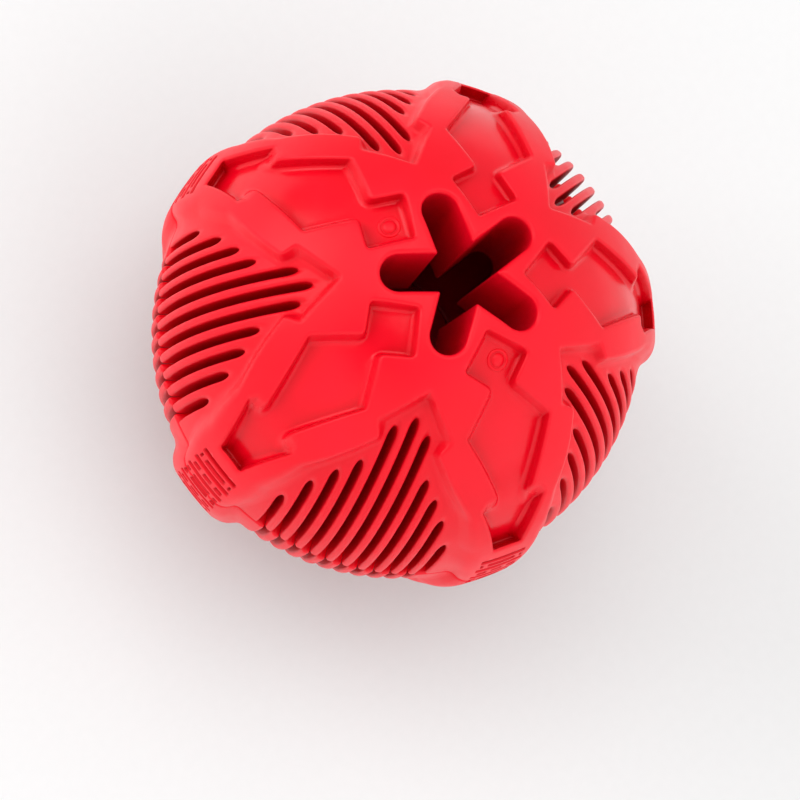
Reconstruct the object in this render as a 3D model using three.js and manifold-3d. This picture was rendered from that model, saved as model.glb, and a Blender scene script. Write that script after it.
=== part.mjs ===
// Treat ball for a dog: two moulded rubber halves, located by a lip and bonded at the equator.
// Millimetres. +Z runs through the two star-shaped mouths. The origin is the middle of the ball.
import * as THREE from "three";
import { mergeVertices } from "three/addons/utils/BufferGeometryUtils.js";
import Module from "manifold-3d";

const wasm = await Module();
wasm.setup();

// Five corners and five rib faces take turns round the ball
const sides = 5;

// Outer curves: the raised plates lie on one, the rib faces and recess floors on the other
const cornerRadius = 45;
const poleReach = 46.5;
const standHeight = 45;
const plateRise = 2.5;

// Rib face between two plates: the plates' edge and the foot of the bank below it, from the
// pole down. Each point is [tilt from the pole in degrees, distance to the side in mm].
const faceEdge = [[25.8, 0], [35.4, 6.5], [38.9, 5.2], [54, 15.2], [68, 19.8]];
const faceFoot = [[28.4, 0], [36.6, 4.9], [40.4, 4.3], [55, 13.3], [69, 17]];
const cornerHalfWidth = 5.1;
const cornerBank = 1.6;

// Recess sunk into each plate: tip, pocket, neck, shoulder, waist, two points of the hook, end.
// The mould opens along Z, so its walls stand nearly upright: seen along Z, their foot lies inside
// their edge by the draft.
const recessEdge = [
  [12.2, 0], [19.6, 5.85], [24.8, 2.1], [34.1, 7.6],
  [51.3, 3.2], [51.8, 4.9], [54.3, 5.9], [70.3, 2.7],
];
const recessDraft = 1.1;

// Grooves between the fins, and the line along which they end; the lower half's grooves sit half a
// pitch to the side
const groovePitch = 2.9;
const grooveWidth = 1.6;
const grooveRootWidth = 1;
const grooveDepth = 5.5;
const grooveLimit = [[33.9, 0], [37.2, 2.9], [48.3, 5.8], [53.5, 8.7], [60.2, 11.6], [72.2, 15]];
const grooveEndLean = 0.35;

// Star mouth at each pole and the tongues between its slots
const slotWidth = 6.3;
const slotReach = 14.4;
const mouthDepth = 23;
const mouthWall = 3.6;

// Treat chamber, locating lip, and the bonding strip in its two channels
const chamberRadius = 30;
const lipWidth = 1.8;
const lipHeight = 2;
const lipLand = 0.8;
const fitGap = 0.3;
const stripWidth = 2.4;
const stripThickness = 1;

// Fineness of the round shapes
const aroundSteps = 40;
const upSteps = 6;
const edgeStep = 12;
const slotEndSteps = 4;
const grooveEndSteps = 2;

const rubber = { color: 0xf01226, roughness: 0.52, metalness: 0 };
const bondingGum = { color: 0x8e1019, roughness: 0.7, metalness: 0 };

const sectorAngle = (2 * Math.PI) / sides;
const floorRadius = cornerRadius - plateRise;
const floorReach = poleReach - plateRise;
const mouthFloor = standHeight - mouthDepth;
const wellOutside = 2 * Math.max(cornerRadius, poleReach);
const pastEquator = 96;

function radians(degrees) {
  return (degrees * Math.PI) / 180;
}

// A closed mesh as a solid that can be cut and joined
function solid(geometry) {
  const bare = geometry.index ? geometry.toNonIndexed() : geometry.clone();
  bare.deleteAttribute("normal");
  bare.deleteAttribute("uv");
  const merged = mergeVertices(bare, 1e-4);
  const corners = merged.index.array;
  const triVerts = [];
  for (let i = 0; i < corners.length; i += 3) {
    const [a, b, c] = [corners[i], corners[i + 1], corners[i + 2]];
    if (a !== b && b !== c && c !== a) {
      triVerts.push(a, b, c);
    }
  }
  return new wasm.Manifold(new wasm.Mesh({
    numProp: 3,
    vertProperties: merged.attributes.position.array,
    triVerts: new Uint32Array(triVerts),
  }));
}

function union(solids) {
  return solids.reduce((whole, next) => whole.add(next));
}

function namedMesh(name, shape, finish) {
  const cut = shape.getMesh();
  const geometry = new THREE.BufferGeometry();
  geometry.setAttribute("position", new THREE.BufferAttribute(cut.vertProperties, 3));
  geometry.setIndex(new THREE.BufferAttribute(cut.triVerts, 1));
  const mesh = new THREE.Mesh(geometry, new THREE.MeshStandardMaterial({ ...finish, flatShading: true }));
  mesh.name = name;
  return mesh;
}

// A solid of revolution about +Z; the profile's points are [radius, height], outer side upwards
function turned(profile) {
  const points = profile.map(([radius, height]) => new THREE.Vector2(radius, height));
  return solid(new THREE.LatheGeometry(points, aroundSteps).rotateX(Math.PI / 2));
}

function disc(radius, low, high) {
  return turned([[0, low], [radius, low], [radius, high], [0, high]]);
}

function ring(inner, outer, low, high) {
  return turned([[inner, low], [outer, low], [outer, high], [inner, high], [inner, low]]);
}

// A spheroid that is cut flat at a height above and below its middle
function spheroid(radius, reach, land) {
  const top = Math.asin(Math.min(1, land / reach));
  const profile = [[0, -reach * Math.sin(top)]];
  for (let i = -upSteps; i <= upSteps; i += 1) {
    const angle = (top * i) / upSteps;
    profile.push([radius * Math.cos(angle), reach * Math.sin(angle)]);
  }
  profile.push([0, reach * Math.sin(top)]);
  return turned(profile);
}

// Unit vector towards a point of an outline whose middle line lies at the given azimuth
function towards([tilt, across], azimuth) {
  const side = across / cornerRadius;
  const level = Math.sqrt(1 - side ** 2);
  const down = radians(tilt);
  const way = new THREE.Vector3(Math.sin(down) * level, side, Math.cos(down) * level);
  return way.applyAxisAngle(new THREE.Vector3(0, 0, 1), azimuth);
}

// The place on a spheroid that lies in a direction from its middle
function onSpheroid(way, radius, reach) {
  return way.clone().divideScalar(Math.hypot(way.x / radius, way.y / radius, way.z / reach));
}

// An outline's point laid flat, in mm down from the pole and mm to the side
function flatPoint([tilt, across]) {
  return new THREE.Vector2(radians(tilt) * cornerRadius, across);
}

// The foot of a wall that slopes inwards by a distance all round a half outline
function inset(half, distance) {
  const flat = half.map(flatPoint);
  const mirrored = (point) => new THREE.Vector2(point.x, -point.y);
  const chain = [mirrored(flat[1]), ...flat, mirrored(flat.at(-1))];
  return flat.map((point, i) => {
    const before = point.clone().sub(chain[i]).normalize();
    const after = chain[i + 2].clone().sub(point).normalize();
    const inwards = new THREE.Vector2(before.y + after.y, -before.x - after.x);
    const moved = point.clone().addScaledVector(inwards, distance / (1 + before.dot(after)));
    return [(moved.x * 180) / (Math.PI * cornerRadius), moved.y];
  });
}

// Both sides of a half outline in one loop, each of its edges divided into the given parts
function loop(half, parts) {
  const whole = [...half.map(([tilt, across]) => [tilt, -across]), ...half.slice(1).reverse()];
  return whole.flatMap(([tilt, across], i) => {
    const [tiltRise, acrossRise] = [0, 1].map((k) => whole[(i + 1) % whole.length][k] - whole[i][k]);
    const shares = Array.from({ length: parts[i] }, (_, k) => k / parts[i]);
    return shares.map((share) => [tilt + tiltRise * share, across + acrossRise * share]);
  });
}

// How many parts each edge of the loop needs to follow the ball's curve
function partsOf(half) {
  const lengths = half.slice(1).map((point, i) => flatPoint(point).distanceTo(flatPoint(half[i])));
  const closing = 2 * half.at(-1)[1];
  return [...lengths, closing, ...lengths.toReversed()].map((length) => Math.ceil(length / edgeStep));
}

// A closed tool through loops of matching points, the innermost loop first
function tool(loops) {
  const count = loops[0].length;
  const top = (loops.length - 1) * count;
  const triangles = [];
  for (let a = 0; 2 * a < count - 1; a += 1) {
    const [b, c, d] = [a + 1, count - a - 1, (count - a) % count];
    triangles.push(a, c, b, a, d, c);
    triangles.push(top + a, top + b, top + c, top + a, top + c, top + d);
  }
  for (let i = 0; i < top; i += 1) {
    const next = i - (i % count) + ((i + 1) % count);
    triangles.push(i, next, next + count, i, next + count, i + count);
  }
  const geometry = new THREE.BufferGeometry().setFromPoints(loops.flat());
  geometry.setIndex(triangles);
  return geometry;
}

// The place on the recess floors' spheroid that lies straight below a point
function straightOntoFloor({ x, y }) {
  const level = Math.min(1, Math.hypot(x, y) / floorRadius);
  return new THREE.Vector3(x, y, floorReach * Math.sqrt(1 - level ** 2));
}

// Tool that sinks a plate's recess
function recess(azimuth) {
  const parts = partsOf(recessEdge);
  const onPlates = (point) => onSpheroid(towards(point, azimuth), cornerRadius, poleReach);
  const rim = loop(recessEdge, parts).map(onPlates);
  return solid(tool([
    loop(inset(recessEdge, recessDraft), parts).map(onPlates).map(straightOntoFloor),
    rim,
    rim.map(({ x, y }) => new THREE.Vector3(x, y, wellOutside)),
  ]));
}

// Sideways reach of a rib face at the equator, where the corner beside it starts
function widthBeside(cornerHalf) {
  return cornerRadius * Math.sin(sectorAngle / 2 - Math.asin(cornerHalf / cornerRadius));
}

const edgeAtEquator = widthBeside(cornerHalfWidth);
const footAtEquator = widthBeside(cornerHalfWidth + cornerBank);
const wholeFaceEdge = [...faceEdge, [90, edgeAtEquator], [pastEquator, edgeAtEquator]];
const wholeFaceFoot = [...faceFoot, [90, footAtEquator], [pastEquator, footAtEquator]];

// Tool that sinks a rib face between two plates, its banks sloping from edge to foot
function faceSinker(azimuth) {
  const parts = partsOf(wholeFaceEdge);
  const edge = loop(wholeFaceEdge, parts).map((point) => towards(point, azimuth));
  const foot = loop(wholeFaceFoot, parts).map((point) => towards(point, azimuth));
  return solid(tool([
    foot.map((way) => way.clone().multiplyScalar(chamberRadius)),
    foot.map((way) => onSpheroid(way, floorRadius, floorReach)),
    edge.map((way) => onSpheroid(way, cornerRadius, poleReach)),
    edge.map((way) => way.clone().multiplyScalar(wellOutside)),
  ]));
}

// Tilt of the upper end of the groove that lies a sideways distance from its face's middle
function grooveEnd(sideways) {
  const next = Math.max(1, grooveLimit.findIndex(([, across]) => across >= sideways));
  const [[tiltA, acrossA], [tiltB, acrossB]] = grooveLimit.slice(next - 1, next + 1);
  return THREE.MathUtils.mapLinear(sideways, acrossA, acrossB, tiltA, tiltB);
}

// Half outline of a groove that has the given width: round at its upper end, and on past the equator
function grooveOutline(end, width) {
  const radius = width / 2;
  const arc = Array.from({ length: grooveEndSteps + 1 }, (_, i) => {
    const turn = (i * Math.PI) / (2 * grooveEndSteps);
    return [end - (radius * Math.cos(turn) * 180) / (Math.PI * floorRadius), radius * Math.sin(turn)];
  });
  return [...arc, [pastEquator, radius]];
}

// Tool for one groove: its floor follows the face, and its walls spread from there to above the plates
function groove(sideways, azimuth) {
  const end = grooveEnd(Math.abs(sideways));
  const lean = (grooveEndLean * 180) / (Math.PI * floorRadius);
  const parts = partsOf(grooveOutline(end, grooveWidth));
  const spread = (grooveWidth - grooveRootWidth) / grooveDepth;
  const loops = [-grooveDepth, 2 * plateRise].map((rise) => {
    const [radius, reach] = [floorRadius + rise, floorReach + rise];
    const outline = grooveOutline(end - lean * rise, grooveWidth + spread * rise);
    return loop(outline, parts).map(([tilt, across]) => {
      const [x, y, z] = [Math.sin(radians(tilt)), sideways + across, Math.cos(radians(tilt))];
      const scale = Math.sqrt(1 - (y / radius) ** 2) / Math.hypot(x / radius, z / reach);
      return new THREE.Vector3(x * scale, y, z * scale);
    });
  });
  return solid(tool(loops).rotateZ(azimuth));
}

// Tools for all the grooves of one rib face
function faceGrooves(shift, azimuth) {
  const tools = [];
  for (let sideways = shift; sideways <= grooveLimit.at(-1)[1]; sideways += groovePitch) {
    const places = sideways > 0 ? [sideways, -sideways] : [sideways];
    tools.push(...places.map((place) => groove(place, azimuth)));
  }
  return tools;
}

// Tool for the star-shaped mouth in the upper pole
function star() {
  const radius = slotWidth / 2;
  const reach = slotReach - radius;
  const low = mouthFloor / 2;
  const shape = new THREE.Shape();
  shape.moveTo(0, -radius);
  shape.lineTo(reach, -radius);
  shape.absarc(reach, 0, radius, -Math.PI / 2, Math.PI / 2, false);
  shape.lineTo(0, radius);
  const style = { depth: wellOutside - low, bevelEnabled: false, curveSegments: slotEndSteps };
  const slots = Array.from({ length: sides }, (_, side) => {
    const slot = new THREE.ExtrudeGeometry(shape, style);
    return solid(slot.translate(0, 0, low).rotateZ((side + 0.5) * sectorAngle));
  });
  return union(slots);
}

// Treat chamber, less the boss that carries the mouth's tongues down into it
function chamber() {
  const boss = disc(slotReach + mouthWall, mouthFloor, wellOutside);
  return spheroid(chamberRadius, chamberRadius, chamberRadius).subtract(boss);
}

// The ball above its parting plane, before the joint's details are cut
function mouldedHalf(grooveShift) {
  const sinkers = [];
  const grooves = [];
  for (let side = 0; side < sides; side += 1) {
    const corner = side * sectorAngle;
    const face = corner + sectorAngle / 2;
    sinkers.push(recess(corner), faceSinker(face));
    grooves.push(...faceGrooves(grooveShift, face));
  }
  const plates = spheroid(cornerRadius, poleReach, standHeight).subtract(union(sinkers));
  const ball = plates.add(spheroid(floorRadius, floorReach, floorReach));
  const upper = ball.intersect(disc(wellOutside, 0, wellOutside));
  return upper.subtract(union(grooves)).subtract(star()).subtract(chamber());
}

const lipOuter = chamberRadius + lipWidth;
const rebateOuter = lipOuter + fitGap;
const channelInner = rebateOuter + lipLand;
const channelOuter = channelInner + stripWidth + 2 * fitGap;
const stripHalf = stripThickness / 2;

function upperHalf() {
  const rebate = disc(rebateOuter, -lipHeight, lipHeight + fitGap);
  const channel = ring(channelInner, channelOuter, -stripHalf, stripHalf);
  return mouldedHalf(0).subtract(rebate).subtract(channel);
}

// Built upright like the upper half, with its lip pointing down, and turned over in place
function lowerHalf() {
  const lip = ring(chamberRadius, lipOuter, -lipHeight, lipHeight);
  const channel = ring(channelInner, channelOuter, -stripHalf, stripHalf);
  return mouldedHalf(groovePitch / 2).subtract(channel).add(lip);
}

function bondingStrip() {
  return ring(channelInner + fitGap, channelOuter - fitGap, -stripHalf, stripHalf);
}

const ball = new THREE.Group();
const lower = namedMesh("lower_half", lowerHalf(), rubber);
lower.rotation.x = Math.PI;
ball.add(namedMesh("upper_half", upperHalf(), rubber));
ball.add(namedMesh("bonding_strip", bondingStrip(), bondingGum));
ball.add(lower);

export default ball;
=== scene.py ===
"""Red rubber treat ball for a dog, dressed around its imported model.

Blender's objects are in metres. The rubber's shape is worked out in millimetres, as a signed distance
that is negative inside the rubber, for half of one of the ball's five sectors. The surface where it is
zero becomes a mesh, and mirrored and turned copies of that mesh make up each moulded half.
"""

import math

import bmesh
import bpy
import numpy as np
from mathutils import Matrix, Vector


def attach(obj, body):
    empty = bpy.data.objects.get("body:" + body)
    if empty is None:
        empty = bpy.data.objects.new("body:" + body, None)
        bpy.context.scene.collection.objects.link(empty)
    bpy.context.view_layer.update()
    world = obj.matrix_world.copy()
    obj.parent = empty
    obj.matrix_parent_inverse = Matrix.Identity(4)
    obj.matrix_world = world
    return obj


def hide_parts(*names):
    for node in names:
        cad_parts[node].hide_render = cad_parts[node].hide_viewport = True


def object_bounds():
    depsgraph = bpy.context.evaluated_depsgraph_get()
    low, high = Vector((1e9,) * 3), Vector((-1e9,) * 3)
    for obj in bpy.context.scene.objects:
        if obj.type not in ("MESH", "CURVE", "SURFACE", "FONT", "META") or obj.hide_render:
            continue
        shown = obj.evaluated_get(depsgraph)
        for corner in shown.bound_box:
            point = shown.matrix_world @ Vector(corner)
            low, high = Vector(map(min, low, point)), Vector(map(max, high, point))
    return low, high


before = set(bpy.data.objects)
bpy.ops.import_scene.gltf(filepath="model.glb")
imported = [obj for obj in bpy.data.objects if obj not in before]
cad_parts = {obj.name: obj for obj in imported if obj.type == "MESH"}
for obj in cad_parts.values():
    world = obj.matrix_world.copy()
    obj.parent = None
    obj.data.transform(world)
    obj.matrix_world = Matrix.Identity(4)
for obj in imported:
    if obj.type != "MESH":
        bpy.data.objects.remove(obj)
cad_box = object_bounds()

MM = 0.001

# Outer curves: raised plates on one, rib faces and recess floors on the other
SIDES = 5
HALF_SECTOR = math.pi / SIDES
CORNER_RADIUS = 45.0
POLE_REACH = 46.5
STAND_HEIGHT = 45.0
PLATE_RISE = 2.5
FLOOR_RADIUS = CORNER_RADIUS - PLATE_RISE
FLOOR_REACH = POLE_REACH - PLATE_RISE

# Half outlines, from the pole down: tilt from the pole in degrees, distance to the side, corner radius.
# A rib face's bank runs from its edge on the plates down to its foot on the floor.
RECESS = [(12.2, 0, 0.8), (19.6, 5.85, 1.0), (24.8, 2.1, 0.9), (34.1, 7.6, 1.1),
          (51.3, 3.2, 0.7), (51.8, 4.9, 0.8), (54.3, 5.9, 1.3), (70.3, 2.7, 0.8)]
FACE_EDGE = [(25.8, 0, 0.7), (35.4, 6.5, 1.0), (38.9, 5.2, 0.9),
             (54, 15.2, 9.0), (68, 19.8, 12.0), (90, 22.2, 0)]
FACE_FOOT = [(28.4, 0, 0.7), (36.6, 4.9, 1.0), (40.4, 4.3, 0.9),
             (55, 13.3, 9.0), (69, 17, 12.0), (90, 20.8, 0)]
PAST_EQUATOR = 110
CORNER_POINTS = 5
LARGEST_CUT = 0.45

# How far a recess's wall leans in over its height, at the pole and what it gains towards the equator, and
# the heights over which walls lean, in plate rises below the plate
RECESS_DRAFT_AT_POLE = 0.5
RECESS_DRAFT_GAIN = 1.6
WALL_SPAN = (-0.5, 1.5)

# Grooves between the fins. Their sides lean over a span in groove depths, and they end along a line that
# goes by tilt from the pole and mm to the side.
GROOVE_PITCH = 2.9
GROOVE_WIDTH = 1.4
GROOVE_ROOT_WIDTH = 0.9
GROOVE_DEPTH = 5.5
GROOVE_SPAN = (-1.2, 1)
GROOVE_LIMIT = [(33.9, 0), (37.2, 2.9), (48.3, 5.8), (53.5, 8.7), (60.2, 11.6), (72.2, 15)]
GROOVE_END_LEAN = 0.5
GROOVE_END_TAPER = 1.8

# Star mouth, treat chamber, and the joint between the halves
SLOT_WIDTH = 6.3
SLOT_REACH = 14.2
SLOT_NARROWING = 0.6
MOUTH_DEPTH = 23.0
MOUTH_FLOOR = STAND_HEIGHT - MOUTH_DEPTH
MOUTH_WALL = 3.6
CHAMBER_RADIUS = 30.0
LIP_WIDTH = 1.8
LIP_HEIGHT = 2.0
LIP_LAND = 0.8
FIT_GAP = 0.3
STRIP_WIDTH = 2.4
STRIP_THICKNESS = 1.0

# Roundings
PLATE_EDGE = 0.5
BANK_EDGE_AT_NOTCH = 0.4
BANK_EDGE_AT_EQUATOR = 1.2
ROOT_FILLET = 0.7
FIN_EDGE = 0.6
GROOVE_ROOT = 0.4
MOUTH_EDGE = 1.0
PARTING_EDGE = 0.7
CHAMBER_EDGE = 1.0
TONGUE_TIP = 0.5
LAND_EDGE = 1.2

# Fine broken scores across each corner, where a dog's teeth grip. The rows take these half lengths and
# these places of a break in turn, and a row without a break runs through.
NO_BREAK = 9.0
SCORES_START = 74.6
SCORE_PITCH = 2.0
SCORE_WIDTH = 1.35
SCORE_DEPTH = 1.4
SCORE_SLOPE = 0.35
SCORE_END = 0.3
SCORE_BRIDGE = 0.8
SCORE_LENGTHS = [4.2, 4.0, 4.4, 3.7, 4.4, 4.1]
SCORE_BREAKS = [NO_BREAK, 3.0, NO_BREAK, 1.5, NO_BREAK, 2.6]

# Marks that the mould's vent pins leave in two pockets: which corner, mm outwards and to the side. Their
# section gives radius and height from the rim to the middle.
MARK_PLACES = [(4, 14.3, 0.0), (1, 15.0, 0.9)]
MARK_PROFILE = [(1.9, -0.5), (1.9, 0.06), (1.8, 0.16), (1.65, 0.2), (1.5, 0.16), (1.4, 0.04),
                (1.25, -0.02), (1.15, 0.06), (1.05, 0.2), (0.85, 0.32), (0.6, 0.39), (0.3, 0.43), (0, 0.44)]
MARK_STEPS = 40

# The rubber's finish: the satin border of a polished floor and how much smoother the floor is, how far a
# hollow's walls count as near for the painted shade that darkens hollows, and over which distance the red
# light that it throws on things fades
POLISH_BORDER = 0.6
POLISH_CHANGE = -0.18
HOLLOW_SHADE_REACH = 6.0
THROWN_FULL = 2.0
THROWN_LEAST = 10.0

# The grid in which the surface is found, from within the mouth to past the lip, and the finished mesh
CELL = 0.27
TILT_SPAN = (5.5, 95.5)
REACH_SPAN = (MOUTH_FLOOR - 1.5, POLE_REACH + 1)
GRADIENT_STEP = 0.02
LEAST_SLOPE = 0.1
PULL_ROUNDS = 3
FACES_PER_HALF = 190000

# The camera looks at the mouth from nearly above. The angles are those of the photograph: how far the
# ball's axis leans from the line of sight, about which direction, and how far the corners are turned.
VIEW_TILT = math.radians(20.06)
VIEW_TILT_AXIS = math.radians(131.63)
CORNER_TURN = math.radians(217.92)
VIEW_DISTANCE = 697.6
PIXEL_MM = 0.1744
FRAME_PIXELS = 800
BALL_PIXEL = (395.7, 334.3)
SENSOR_WIDTH = 36

# A white room that is brighter towards one side. A dark patch, as a camera's stand makes one, begins and is
# full at these angles from the photograph's line of sight, and keeps this share of the light.
BRIGHT_SIDE = (0.21, 0.93, 0.3)
BRIGHT_LIGHT = 1.65
DIM_LIGHT = 0.45
PATCH_EDGES = (36, 12)
PATCH_SHARE = 0.15

# Two square lamps, by the photograph's directions to the right, up and towards the camera, with their watts
SOFTBOX_SIZE = 900
SOFTBOXES = {"softbox_above": ((120, 500, 1100), 4.0), "softbox_beside": ((-900, 610, 670), 6.0)}
FLOOR_SIZE = 4000


def rounded_max(a, b, radius):
    """Distance to what two bodies share, with the edge between them rounded."""
    beyond = np.hypot(np.maximum(a + radius, 0), np.maximum(b + radius, 0))
    return np.minimum(np.maximum(a, b), -radius) + beyond


def rounded_min(a, b, radius):
    """Distance to two bodies joined, with a fillet between them."""
    return -rounded_max(-a, -b, radius)


def rounded_outline(points):
    """A half outline in mm, down from the pole and to the side, with its corners rounded."""
    flat = np.array([(math.radians(tilt) * CORNER_RADIUS, across) for tilt, across, _ in points])
    chain = np.concatenate([flat[1:2] * (1, -1), flat, flat[-1:] * (1, -1)])
    outline = []
    for before, corner, after, (_, _, radius) in zip(chain, chain[1:], chain[2:], points):
        arms = [before - corner, after - corner]
        lengths = [math.hypot(*arm) for arm in arms]
        half_turn = (math.pi - math.acos(arms[0] @ arms[1] / math.prod(lengths))) / 2
        cut = min(radius * math.tan(half_turn), LARGEST_CUT * min(lengths))
        start, end = [corner + arm * cut / length for arm, length in zip(arms, lengths)]
        for share in np.linspace(0, 1, CORNER_POINTS if radius else 1):
            outline.append((1 - share) ** 2 * start + 2 * share * (1 - share) * corner + share ** 2 * end)
    half = [tuple(point) for point in outline if point[1] > 1e-6]
    return [(outline[CORNER_POINTS // 2][0], 0.0)] + half


def outline_distance(down, across, outline):
    """Distance from an outline in its flat map, negative within it."""
    shape = np.broadcast(down, across).shape
    nearest = np.full(shape, np.inf)
    within = np.zeros(shape, bool)
    for (d0, a0), (d1, a1) in zip(outline, outline[1:]):
        run, rise = d1 - d0, a1 - a0
        share = np.clip(((down - d0) * run + (across - a0) * rise) / (run ** 2 + rise ** 2), 0, 1)
        nearest = np.minimum(nearest, np.hypot(down - d0 - share * run, across - a0 - share * rise))
        if run:
            level_with = (down >= min(d0, d1)) & (down < max(d0, d1))
            within ^= level_with & (across < a0 + (down - d0) / run * rise)
    return np.where(within, -nearest, nearest)


def continued(outline):
    """An outline that runs on, past the equator, at the width that it has there."""
    return outline + [(math.radians(PAST_EQUATOR) * CORNER_RADIUS, outline[-1][1])]


def seen_from_above(outline):
    """An outline on the raised plates as a mould that opens upwards has it: mm outwards and to the side."""
    seen = []
    for down, across in outline:
        side = across / CORNER_RADIUS
        level = math.sqrt(1 - side ** 2)
        out, up = math.sin(down / CORNER_RADIUS) * level, math.cos(down / CORNER_RADIUS) * level
        scale = 1 / math.hypot(out / CORNER_RADIUS, side / CORNER_RADIUS, up / POLE_REACH)
        seen.append((out * scale, side * scale))
    return seen


# A recess closes before the equator, so its outline comes back to the middle plane
recess_outline = seen_from_above(rounded_outline(RECESS))
recess_outline.append((recess_outline[-1][0], 0.0))
face_edge = continued(rounded_outline(FACE_EDGE))
face_foot = continued(rounded_outline(FACE_FOOT))


class Places:
    """Points by direction and distance from the ball's middle, folded into one half sector.

    The half sector runs from a corner's middle plane to a rib face's middle plane.
    """

    def __init__(self, x, y, z, reach):
        self.reach = reach
        self.up = z
        self.level = np.hypot(x, y)
        turn = np.abs(np.arctan2(y, x))
        turn = np.where(turn > HALF_SECTOR, 2 * HALF_SECTOR - turn, turn)
        self.x, self.y = self.level * np.cos(turn), self.level * np.sin(turn)
        away = HALF_SECTOR - turn
        self.face_x, self.face_y = self.level * np.cos(away), self.level * np.sin(away)
        self.height = reach * z
        self.radius = reach * self.level

    def corner_map(self):
        """Mm down from the pole along a corner's middle plane, and to the side."""
        return CORNER_RADIUS * np.arctan2(self.x, self.up), CORNER_RADIUS * self.y

    def face_map(self):
        """Mm down from the pole along a rib face's middle plane, and to the side."""
        return CORNER_RADIUS * np.arctan2(self.face_x, self.up), CORNER_RADIUS * np.abs(self.face_y)


def spheroid(at, radius, reach):
    """Distance from a ball that reaches farther along its axis than across it."""
    scaled = np.hypot(at.level / radius, at.up / reach)
    steepness = np.hypot(at.level / radius ** 2, at.up / reach ** 2)
    return (at.reach * scaled - 1) * scaled / steepness


def grooves(at, floor, shift):
    """Distance from a face's grooves, the first of them at the shift, which narrow towards their roots."""
    tilts, limits = zip(*GROOVE_LIMIT)
    ends = np.radians(np.interp(np.arange(shift, limits[-1], GROOVE_PITCH), limits, tilts))
    sideways = at.reach * np.abs(at.face_y)
    nearest = np.clip(np.rint((sideways - shift) / GROOVE_PITCH), 0, len(ends) - 1).astype(int)
    slice_radius = at.reach * np.hypot(at.face_x, at.up)
    short_of_end = slice_radius * (ends[nearest] - np.arctan2(at.face_x, at.up)) - GROOVE_END_LEAN * floor
    off_middle = sideways - shift - nearest * GROOVE_PITCH
    widening = (GROOVE_WIDTH - GROOVE_ROOT_WIDTH) * np.clip(floor / GROOVE_DEPTH, *GROOVE_SPAN)
    half_width = (GROOVE_WIDTH + widening) / 2
    rounding = half_width / (half_width + GROOVE_END_TAPER)
    slot = np.hypot(np.maximum(short_of_end + GROOVE_END_TAPER, 0) * rounding, off_middle) - half_width
    return rounded_max(slot, -(floor + GROOVE_DEPTH), GROOVE_ROOT)


def mouth(at):
    """Distance from the star-shaped mouth, whose slots narrow a little towards the chamber."""
    half_width = SLOT_WIDTH / 2 - SLOT_NARROWING * (STAND_HEIGHT - at.height) / MOUTH_DEPTH
    end = SLOT_REACH - SLOT_WIDTH / 2
    slots = []
    for side in (1, -1):
        along = at.reach * (at.x * math.cos(HALF_SECTOR) + side * at.y * math.sin(HALF_SECTOR))
        off = at.reach * (at.y * math.cos(HALF_SECTOR) - side * at.x * math.sin(HALF_SECTOR))
        slots.append(np.hypot(off, along - np.clip(along, 0, end)) - half_width)
    return rounded_min(*slots, TONGUE_TIP)


def chamber(at):
    """Distance from the treat chamber, less the boss that carries the mouth down into it."""
    boss = rounded_max(at.radius - SLOT_REACH - MOUTH_WALL, MOUTH_FLOOR - at.height, CHAMBER_EDGE)
    return rounded_max(at.reach - CHAMBER_RADIUS, -boss, CHAMBER_EDGE)


def ring(at, inner, outer, low, high):
    """Distance from a ring round the axis, with a rectangle for its section."""
    across = np.abs(at.radius - (inner + outer) / 2) - (outer - inner) / 2
    upright = np.abs(at.height - (low + high) / 2) - (high - low) / 2
    return np.maximum(across, upright)


def corner_scores(at):
    """Depth of the scores across the ball's corners, which bridges of rubber break up."""
    down, across = at.corner_map()
    rows = (down - math.radians(SCORES_START) * CORNER_RADIUS) / SCORE_PITCH
    row = np.floor(rows)
    kind = row.astype(int) % len(SCORE_LENGTHS)
    off_row = np.abs(rows - row - 0.5) * SCORE_PITCH - SCORE_WIDTH / 2
    off_break = SCORE_BRIDGE / 2 - np.abs(across - np.array(SCORE_BREAKS)[kind])
    past_end = across - np.array(SCORE_LENGTHS)[kind]
    outside = rounded_max(off_row, rounded_max(off_break, past_end, SCORE_END), SCORE_END)
    return np.where(row >= 0, SCORE_DEPTH * np.clip(-outside / SCORE_SLOPE, 0, 1), 0)


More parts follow.
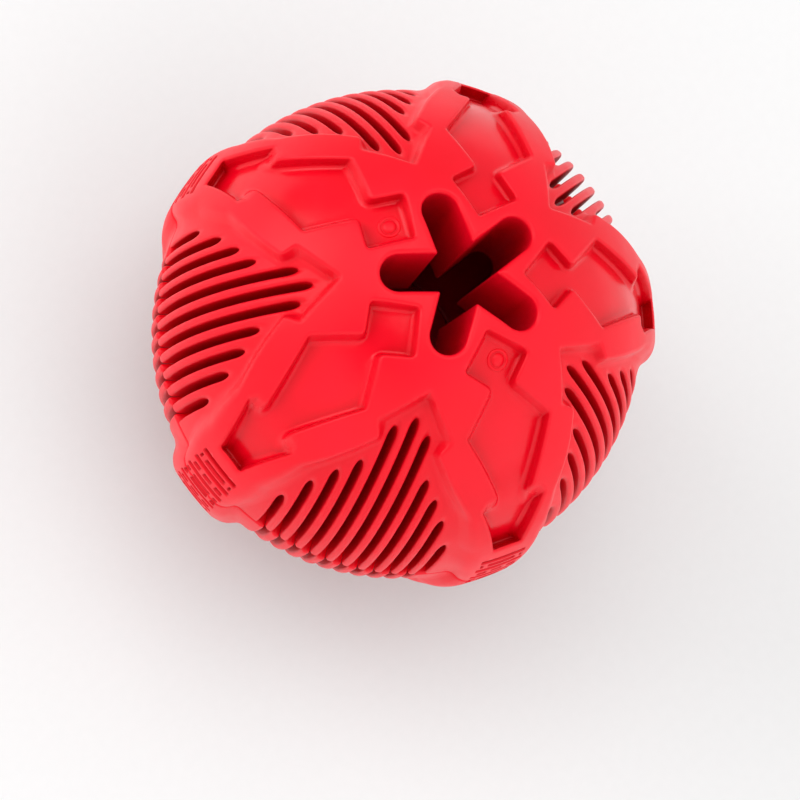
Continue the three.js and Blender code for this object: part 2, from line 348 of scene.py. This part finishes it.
def rubber(at, shift, with_lip):
    """Distance from a moulded half that stands with its mouth up on the parting plane."""
    floor = spheroid(at, FLOOR_RADIUS, FLOOR_REACH)
    plates = rounded_max(spheroid(at, CORNER_RADIUS, POLE_REACH), at.height - STAND_HEIGHT, LAND_EDGE)
    sunk = np.clip(-plates / PLATE_RISE, *WALL_SPAN)
    plates = plates + corner_scores(at)

    # The plates, less their recesses and less the rib faces with their leaning banks
    draft = RECESS_DRAFT_AT_POLE + RECESS_DRAFT_GAIN * (1 - at.up)
    recess = outline_distance(at.reach * at.x, at.reach * at.y, recess_outline) + draft * sunk
    plates = rounded_max(plates, -recess, PLATE_EDGE)
    down, across = at.face_map()
    edge = outline_distance(down, across, face_edge)
    bank = outline_distance(down, across, face_foot) - edge
    share = np.clip(2 * down / (CORNER_RADIUS * math.pi / 2) - 1, 0, 1)
    softness = BANK_EDGE_AT_NOTCH + (BANK_EDGE_AT_EQUATOR - BANK_EDGE_AT_NOTCH) * share
    plates = rounded_max(plates, -(edge + bank * sunk) / np.hypot(1, bank / PLATE_RISE), softness)
    body = rounded_min(floor, plates, ROOT_FILLET)

    # What is cut out of the whole half
    body = rounded_max(body, -grooves(at, floor, shift), FIN_EDGE)
    body = rounded_max(body, -mouth(at), MOUTH_EDGE)
    body = rounded_max(body, -chamber(at), CHAMBER_EDGE)
    body = rounded_max(body, -at.height, PARTING_EDGE)

    # The joint: the lip or the step that fits over it, and half of the bonding gum's channel
    lip_outer = CHAMBER_RADIUS + LIP_WIDTH
    if with_lip:
        body = np.minimum(body, ring(at, CHAMBER_RADIUS, lip_outer, -LIP_HEIGHT, LIP_HEIGHT))
    else:
        body = np.maximum(body, -ring(at, 0, lip_outer + FIT_GAP, -LIP_HEIGHT, LIP_HEIGHT + FIT_GAP))
    channel = lip_outer + FIT_GAP + LIP_LAND
    channel_outer = channel + STRIP_WIDTH + 2 * FIT_GAP
    return np.maximum(body, -ring(at, channel, channel_outer, -STRIP_THICKNESS / 2, STRIP_THICKNESS / 2))


def surface_net(values):
    """The surface where a grid's values change sign: points in grid steps, quads and the points' cells."""
    cells = np.array(values.shape) - 1
    total = np.zeros((3, cells.prod()))
    crossings = np.zeros(cells.prod())
    quads = []
    for axis in range(3):
        step = np.eye(3, dtype=int)[axis]
        starts = tuple(slice(0, size - on) for size, on in zip(values.shape, step))
        ends = tuple(slice(on, size) for size, on in zip(values.shape, step))
        edges = np.argwhere((values[starts] < 0) != (values[ends] < 0))
        first, second = values[tuple(edges.T)], values[tuple((edges + step).T)]
        places = edges + np.outer(first / (first - second), step)

        # Each crossed edge makes a quad of the four cells round it, and moves their points towards itself
        around = np.repeat(edges[:, None], 4, axis=1)
        around[:, (1, 2), (axis + 1) % 3] -= 1
        around[:, (2, 3), (axis + 2) % 3] -= 1
        real = ((around >= 0) & (around < cells)).all(axis=2)
        flat = np.ravel_multi_index(np.moveaxis(around, 2, 0), cells, mode="clip")
        for corner in range(4):
            kept = real[:, corner]
            crossings += np.bincount(flat[kept, corner], minlength=len(crossings))
            for i in range(3):
                total[i] += np.bincount(flat[kept, corner], places[kept, i], minlength=len(crossings))
        whole = real.all(axis=1)
        quads.append(np.where((first < 0)[whole, None], flat[whole], flat[whole][:, ::-1]))
    used, quads = np.unique(np.concatenate(quads), return_inverse=True)
    points = (total[:, used] / crossings[used]).T
    return points, quads.reshape(-1, 4), np.array(np.unravel_index(used, cells)).T


def places_of(points):
    """Points in mm, folded into the half sector."""
    reach = np.linalg.norm(points, axis=1)
    return Places(*(points / reach[:, None]).T, reach)


def slope(shape, points):
    """How fast a distance grows along each axis."""
    steps = np.eye(3) * GRADIENT_STEP
    rises = [shape(places_of(points + step)) - shape(places_of(points - step)) for step in steps]
    return np.array(rises).T / (2 * GRADIENT_STEP)


def pulled_onto(shape, points):
    """Points moved along the distance's slope until they lie where it is zero."""
    for _ in range(PULL_ROUNDS):
        gradient = slope(shape, points)
        steepness = np.maximum((gradient ** 2).sum(axis=1), LEAST_SLOPE)
        move = np.clip(shape(places_of(points)) / steepness, -CELL, CELL)
        points = points - gradient * move[:, None]
    return points


def onto_sector_planes(points, on_corner, on_face):
    """Points of a half sector's mesh, with its two open edges laid on the planes of symmetry."""
    points = points.copy()
    points[on_corner, 1] = 0
    middle = np.array([math.cos(HALF_SECTOR), math.sin(HALF_SECTOR)])
    points[on_face, :2] = np.outer(points[on_face, :2] @ middle, middle)
    return points


def half_sector_mesh(shape):
    """Points and faces of the rubber between a corner's middle plane and a rib face's middle plane."""
    turns = round(HALF_SECTOR * CORNER_RADIUS / CELL)
    turn_step = HALF_SECTOR / turns
    turn = (np.arange(turns + 2) - 0.5) * turn_step
    tilt = np.arange(math.radians(TILT_SPAN[0]), math.radians(TILT_SPAN[1]), CELL / CORNER_RADIUS)
    reach = np.arange(*REACH_SPAN, CELL)
    sines, cosines = np.sin(tilt)[:, None, None], np.cos(tilt)[:, None, None]
    around = turn[None, :, None]
    values = shape(Places(sines * np.cos(around), sines * np.sin(around), cosines, reach[None, None, :]))
    steps, quads, cells = surface_net(values)
    tilt = tilt[0] + steps[:, 0] * CELL / CORNER_RADIUS
    turn = turn[0] + steps[:, 1] * turn_step
    reach = reach[0] + steps[:, 2] * CELL
    sines, cosines = np.sin(tilt), np.cos(tilt)
    points = np.array([sines * np.cos(turn), sines * np.sin(turn), cosines]).T * reach[:, None]
    points = pulled_onto(shape, points)
    return onto_sector_planes(points, cells[:, 1] == 0, cells[:, 1] == turns), quads


def thinned(points, faces, share):
    """A mesh with fewer faces, most of them left where it curves."""
    mesh = bpy.data.meshes.new("half_sector")
    mesh.from_pydata(points, [], faces)
    piece = bpy.data.objects.new("half_sector", mesh)
    bpy.context.scene.collection.objects.link(piece)
    decimate = piece.modifiers.new("decimate", "DECIMATE")
    decimate.ratio = share
    decimate.use_collapse_triangulate = True
    thin = piece.evaluated_get(bpy.context.evaluated_depsgraph_get()).to_mesh()
    points = np.empty(len(thin.vertices) * 3)
    corners = np.empty(len(thin.loops), int)
    thin.vertices.foreach_get("co", points)
    thin.loops.foreach_get("vertex_index", corners)
    bpy.data.objects.remove(piece)
    bpy.data.meshes.remove(mesh)
    return points.reshape(-1, 3), corners.reshape(-1, 3)


def open_edge_points(faces, count):
    """Which points lie on an edge that only one triangle has."""
    edges = np.sort(np.concatenate([faces[:, (0, 1)], faces[:, (1, 2)], faces[:, (2, 0)]]), axis=1)
    edges, uses = np.unique(edges, axis=0, return_counts=True)
    marked = np.zeros(count, bool)
    marked[edges[uses == 1]] = True
    return marked


def finished_half_sector(shape):
    """A half sector thinned and trimmed to its planes, and which points lie on each of its open edges."""
    points, quads = half_sector_mesh(shape)
    share = FACES_PER_HALF / (2 * SIDES) / (2 * len(quads))
    points, faces = thinned(points, quads, min(1, share))
    points = pulled_onto(shape, points)
    open_edge = open_edge_points(faces, len(points))
    turn = np.arctan2(points[:, 1], points[:, 0])
    on_corner = open_edge & (turn < HALF_SECTOR / 2)
    on_face = open_edge & ~on_corner
    return onto_sector_planes(points, on_corner, on_face), faces, on_corner, on_face


def shared_numbers(on_corner, on_face):
    """Numbers of the points of all ten copies, which share those on the edges where they meet.

    Both tables go by side, plain or mirrored copy, and point. The second says which copy is the first to
    have a point.
    """
    numbers = np.zeros((SIDES, 2, len(on_corner)), int)
    new = np.ones(numbers.shape, bool)
    count = 0
    for side in range(SIDES):
        for mirrored in (0, 1):
            meetings = []
            if mirrored:
                meetings.append((on_corner, side, 0))
            if mirrored and side:
                meetings.append((on_face, side - 1, 0))
            if not mirrored and side == SIDES - 1:
                meetings.append((on_face, 0, 1))
            for shared, _, _ in meetings:
                new[side, mirrored, shared] = False
            own = new[side, mirrored]
            numbers[side, mirrored, own] = count + np.arange(own.sum())
            count += own.sum()
            for shared, other_side, other_copy in meetings:
                numbers[side, mirrored, shared] = numbers[other_side, other_copy, shared]
    return numbers, new


def moulded_half(name, shift, with_lip, turned_over):
    """A whole half: mirrored and turned copies of one half sector, joined where they meet."""
    def shape(at):
        return rubber(at, shift, with_lip)

    points, faces, on_corner, on_face = finished_half_sector(shape)
    numbers, new = shared_numbers(on_corner, on_face)
    normals = slope(shape, points)
    at = places_of(points)
    polished = outline_distance(at.reach * at.x, at.reach * at.y, recess_outline) < -POLISH_BORDER

    all_points, all_normals, all_faces, all_polished = [], [], [], []
    for side in range(SIDES):
        for mirrored in (0, 1):
            turning = np.array(Matrix.Rotation(2 * HALF_SECTOR * side, 3, "Z"))
            if mirrored:
                turning = turning @ np.diag([1, -1, 1])
            if turned_over:
                turning = np.diag([1, -1, -1]) @ turning
            own = new[side, mirrored]
            all_points.append((points @ turning.T)[own])
            all_normals.append((normals @ turning.T)[own])
            all_polished.append(polished[own])
            corners = numbers[side, mirrored][faces]
            all_faces.append(corners[:, ::-1] if mirrored else corners)
    mesh = bpy.data.meshes.new(name)
    mesh.from_pydata(np.concatenate(all_points) * MM, [], np.concatenate(all_faces))
    mesh.validate()
    mesh.shade_smooth()
    mesh.normals_split_custom_set_from_vertices(np.concatenate(all_normals))
    polish = mesh.attributes.new("polish", "FLOAT", "POINT")
    polish.data.foreach_set("value", np.concatenate(all_polished).astype(np.float32))
    piece = bpy.data.objects.new(name, mesh)
    bpy.context.scene.collection.objects.link(piece)
    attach(piece, "root")
    return piece


def moulding_mark(name, corner, out, across):
    """A small domed disc in a shallow ring, which a vent pin of the mould leaves on a pocket's floor."""
    azimuth = 2 * HALF_SECTOR * corner
    up = FLOOR_REACH * math.sqrt(1 - (out ** 2 + across ** 2) / FLOOR_RADIUS ** 2)
    middle = Vector((out, across, up))
    normal = Vector((out / FLOOR_RADIUS ** 2, across / FLOOR_RADIUS ** 2, up / FLOOR_REACH ** 2))
    work = bmesh.new()
    rings = []
    for radius, rise in MARK_PROFILE:
        points = []
        for step in range(MARK_STEPS if radius else 1):
            turn = 2 * math.pi * step / MARK_STEPS
            points.append(work.verts.new((radius * math.cos(turn), radius * math.sin(turn), rise)))
        rings.append(points)
    for outer, inner in zip(rings, rings[1:]):
        for step in range(MARK_STEPS):
            after = (step + 1) % MARK_STEPS
            corners = [outer[step], outer[after], inner[after % len(inner)], inner[step % len(inner)]]
            work.faces.new(corners if len(inner) > 1 else corners[:3])
    work.faces.new(reversed(rings[0]))
    tilting = normal.normalized().to_track_quat("Z", "X").to_matrix().to_4x4()
    turning = Matrix.Scale(MM, 4) @ Matrix.Rotation(azimuth, 4, "Z")
    work.transform(turning @ Matrix.Translation(middle) @ tilting)
    mesh = bpy.data.meshes.new(name)
    work.to_mesh(mesh)
    work.free()
    mesh.shade_smooth()
    piece = bpy.data.objects.new(name, mesh)
    bpy.context.scene.collection.objects.link(piece)
    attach(piece, "root")
    return piece


def linear(code):
    """A colour written as sRGB hex, turned to Blender's linear light."""
    channels = [int(code[i:i + 2], 16) / 255 for i in (1, 3, 5)]
    return [c / 12.92 if c <= 0.04045 else ((c + 0.055) / 1.055) ** 2.4 for c in channels] + [1.0]


def add_node(tree, kind, links=None, **settings):
    """One node with its settings, and the sockets or values that go into its inputs."""
    node = tree.nodes.new(kind)
    for key, value in settings.items():
        setattr(node, key, value)
    for key, value in (links or {}).items():
        if isinstance(value, bpy.types.NodeSocket):
            tree.links.new(value, node.inputs[key])
        else:
            node.inputs[key].default_value = value
    return node


def new_material(name):
    material = bpy.data.materials.new(name)
    material.use_nodes = True
    material.node_tree.nodes.clear()
    return material, material.node_tree


def per_metre(size_mm):
    """Scale of a noise whose blobs are this many millimetres wide."""
    return 1 / (size_mm * MM)


def moulded_rubber():
    """Natural rubber, compression moulded in a blasted steel mould and left as it came out.

    The dye is a clear, strong red all through. The blasted mould leaves a fine satin grain, so lights
    blur into soft pale patches, and handling has rubbed some stretches a little smoother than others.
    The floors of the recesses come from polished parts of the mould and are glossier. The real grain is
    finer than a tenth of a millimetre, and is drawn coarser, so that it shows.
    """
    material, tree = new_material("moulded_natural_rubber")
    place = add_node(tree, "ShaderNodeTexCoord").outputs["Object"]
    cloudy = add_node(tree, "ShaderNodeTexNoise", {"Vector": place, "Scale": per_metre(14), "Detail": 3.0})
    rubbed = add_node(tree, "ShaderNodeTexNoise", {"Vector": place, "Scale": per_metre(5), "Detail": 5.0})
    grain = add_node(tree, "ShaderNodeTexNoise", {"Vector": place, "Scale": per_metre(0.45), "Detail": 2.0})
    colour = add_node(tree, "ShaderNodeValToRGB", {"Fac": cloudy.outputs["Fac"]})
    colour.color_ramp.elements[0].position = 0.3
    colour.color_ramp.elements[0].color = linear("#f2021e")
    colour.color_ramp.elements[1].position = 0.7
    colour.color_ramp.elements[1].color = linear("#fb0424")

    # Painted shade: in a hollow, ambient occlusion darkens the base colour to a deeper, purer red, in place
    # of the shade there and of the light that has bounced from red to red
    around = add_node(tree, "ShaderNodeAmbientOcclusion", {
        "Distance": HOLLOW_SHADE_REACH * MM,
    }, only_local=True, samples=8)
    openness = add_node(tree, "ShaderNodeMapRange", {
        "Value": around.outputs["AO"], "From Min": 0.15, "From Max": 0.9,
    })
    hollow_painted_shade = add_node(tree, "ShaderNodeMixRGB", {
        "Fac": openness.outputs["Result"], "Color1": linear("#9c000a"), "Color2": colour.outputs["Color"],
    })

    # The light that the rubber throws is full red close by and dimmer farther off, so the paper stays white
    ray = add_node(tree, "ShaderNodeLightPath")
    farness = add_node(tree, "ShaderNodeMapRange", {
        "Value": ray.outputs["Ray Length"], "From Min": THROWN_FULL * MM, "From Max": THROWN_LEAST * MM,
    })
    thrown = add_node(tree, "ShaderNodeMixRGB", {
        "Fac": farness.outputs["Result"], "Color1": colour.outputs["Color"], "Color2": linear("#a00210"),
    })
    shown = add_node(tree, "ShaderNodeMixRGB", {
        "Fac": ray.outputs["Is Diffuse Ray"], "Color1": hollow_painted_shade.outputs["Color"],
        "Color2": thrown.outputs["Color"],
    })

    # Satin with smoother stretches, and polished where the mesh says so
    gloss = add_node(tree, "ShaderNodeMapRange", {
        "Value": rubbed.outputs["Fac"], "From Min": 0.3, "From Max": 0.7, "To Min": 0.34, "To Max": 0.44,
    })
    polish = add_node(tree, "ShaderNodeAttribute", attribute_name="polish")
    roughness = add_node(tree, "ShaderNodeMath", {
        0: polish.outputs["Fac"], 1: POLISH_CHANGE, 2: gloss.outputs["Result"],
    }, operation="MULTIPLY_ADD")
    ripple = add_node(tree, "ShaderNodeBump", {
        "Height": rubbed.outputs["Fac"], "Strength": 0.5, "Distance": 0.08 * MM,
    })
    bump = add_node(tree, "ShaderNodeBump", {
        "Height": grain.outputs["Fac"], "Strength": 0.2, "Distance": 0.05 * MM,
        "Normal": ripple.outputs["Normal"],
    })
    shader = add_node(tree, "ShaderNodeBsdfPrincipled", {
        "Base Color": shown.outputs["Color"], "Roughness": roughness.outputs["Value"],
        "Normal": bump.outputs["Normal"], "IOR": 1.52, "Specular IOR Level": 0.24,
    })
    add_node(tree, "ShaderNodeOutputMaterial", {"Surface": shader.outputs["BSDF"]})
    return material


def cured_bonding_gum():
    """Bonding gum between the halves: the same rubber, cured without a mould against it.

    Nothing pressed its skin smooth, so it is matte and a little lumpy, and its red is duller.
    """
    material, tree = new_material("cured_bonding_gum")
    place = add_node(tree, "ShaderNodeTexCoord").outputs["Object"]
    lumps = add_node(tree, "ShaderNodeTexNoise", {"Vector": place, "Scale": per_metre(1.2), "Detail": 4.0})
    colour = add_node(tree, "ShaderNodeValToRGB", {"Fac": lumps.outputs["Fac"]})
    colour.color_ramp.elements[0].color = linear("#7a0c15")
    colour.color_ramp.elements[1].color = linear("#98121f")
    bump = add_node(tree, "ShaderNodeBump", {
        "Height": lumps.outputs["Fac"], "Strength": 0.5, "Distance": 0.1 * MM,
    })
    shader = add_node(tree, "ShaderNodeBsdfPrincipled", {
        "Base Color": colour.outputs["Color"], "Roughness": 0.7,
        "Normal": bump.outputs["Normal"], "IOR": 1.52,
    })
    add_node(tree, "ShaderNodeOutputMaterial", {"Surface": shader.outputs["BSDF"]})
    return material


def pale_floor():
    """Matte white studio paper, with the faint mottling of its fibres.

    Single fibres are too fine to show, so the mottling is drawn two millimetres wide.
    """
    material, tree = new_material("matte_studio_paper")
    place = add_node(tree, "ShaderNodeTexCoord").outputs["Object"]
    fibres = add_node(tree, "ShaderNodeTexNoise", {"Vector": place, "Scale": per_metre(2), "Detail": 4.0})
    colour = add_node(tree, "ShaderNodeValToRGB", {"Fac": fibres.outputs["Fac"]})
    colour.color_ramp.elements[0].color = linear("#f3f3f3")
    colour.color_ramp.elements[1].color = linear("#f6f6f6")
    shader = add_node(tree, "ShaderNodeBsdfPrincipled", {
        "Base Color": colour.outputs["Color"], "Roughness": 0.9, "Specular IOR Level": 0.1,
    })
    add_node(tree, "ShaderNodeOutputMaterial", {"Surface": shader.outputs["BSDF"]})
    return material


tilt_axis = Vector((math.cos(VIEW_TILT_AXIS), math.sin(VIEW_TILT_AXIS), 0))
ball_to_view = Matrix.Rotation(VIEW_TILT, 3, tilt_axis) @ Matrix.Rotation(CORNER_TURN, 3, "Z")
view_to_ball = ball_to_view.transposed()


def in_view(right, up, towards):
    """A place given by the photograph's own directions, in millimetres from the ball's middle."""
    return view_to_ball @ Vector((right, up, towards)) * MM


def add_camera():
    """The camera, with the photograph's framing of the ball."""
    data = bpy.data.cameras.new("camera")
    data.sensor_width = SENSOR_WIDTH
    data.lens = data.sensor_width * VIEW_DISTANCE / (PIXEL_MM * FRAME_PIXELS)
    data.shift_x = (FRAME_PIXELS / 2 - BALL_PIXEL[0]) / FRAME_PIXELS
    data.shift_y = (BALL_PIXEL[1] - FRAME_PIXELS / 2) / FRAME_PIXELS
    data.clip_start, data.clip_end = 0.01, 10
    camera = bpy.data.objects.new("camera", data)
    bpy.context.scene.collection.objects.link(camera)
    camera.matrix_world = Matrix.Translation(in_view(0, 0, VIEW_DISTANCE)) @ view_to_ball.to_4x4()
    bpy.context.scene.camera = camera


def add_softbox(name, place, power):
    """A square lamp that faces the ball."""
    data = bpy.data.lights.new(name, "AREA")
    data.energy = power
    data.size = SOFTBOX_SIZE * MM
    lamp = bpy.data.objects.new(name, data)
    bpy.context.scene.collection.objects.link(lamp)
    lamp.location = in_view(*place)
    lamp.rotation_euler = lamp.location.to_track_quat("Z", "Y").to_euler()


def add_floor():
    """The sheet of paper that the ball stands on."""
    bpy.ops.mesh.primitive_plane_add(size=FLOOR_SIZE * MM, location=(0, 0, cad_box[0][2]))
    floor = bpy.context.object
    floor.name = "floor"
    floor.data.materials.append(pale_floor())


def light_the_room():
    """The white room round the ball and its two softboxes."""
    world = bpy.data.worlds.new("white_room")
    world.use_nodes = True
    tree = world.node_tree
    tree.nodes.clear()
    way = add_node(tree, "ShaderNodeTexCoord").outputs["Generated"]
    to_bright = add_node(tree, "ShaderNodeVectorMath", {0: way, 1: BRIGHT_SIDE}, operation="DOT_PRODUCT")
    brightness = add_node(tree, "ShaderNodeMapRange", {
        "Value": to_bright.outputs["Value"], "From Min": -1.0, "From Max": 1.0,
        "To Min": DIM_LIGHT, "To Max": BRIGHT_LIGHT,
    })
    patch_middle = tuple(view_to_ball @ Vector((0, 0, 1)))
    to_patch = add_node(tree, "ShaderNodeVectorMath", {0: way, 1: patch_middle}, operation="DOT_PRODUCT")
    begins, full = [math.cos(math.radians(angle)) for angle in PATCH_EDGES]
    patch = add_node(tree, "ShaderNodeMapRange", {
        "Value": to_patch.outputs["Value"], "From Min": begins, "From Max": full,
        "To Min": 1.0, "To Max": PATCH_SHARE,
    }, interpolation_type="SMOOTHSTEP")
    strength = add_node(tree, "ShaderNodeMath", {
        0: brightness.outputs["Result"], 1: patch.outputs["Result"],
    }, operation="MULTIPLY")
    room = add_node(tree, "ShaderNodeBackground", {"Strength": strength.outputs["Value"]})
    add_node(tree, "ShaderNodeOutputWorld", {"Surface": room.outputs["Background"]})
    bpy.context.scene.world = world
    for name, (place, power) in SOFTBOXES.items():
        add_softbox(name, place, power)


rubber_finish = moulded_rubber()
upper = moulded_half("upper_half_moulding", 0.0, with_lip=False, turned_over=False)
lower = moulded_half("lower_half_moulding", GROOVE_PITCH / 2, with_lip=True, turned_over=True)
for piece, node in ((upper, "upper_half"), (lower, "lower_half")):
    piece.data.materials.append(rubber_finish)
    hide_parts(node)
for number, place in enumerate(MARK_PLACES, 1):
    moulding_mark(f"moulding_mark_{number}", *place).data.materials.append(rubber_finish)
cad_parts["bonding_strip"].material_slots[0].material = cured_bonding_gum()

add_camera()
add_floor()
light_the_room()
bpy.context.scene.view_settings.view_transform = "Standard"
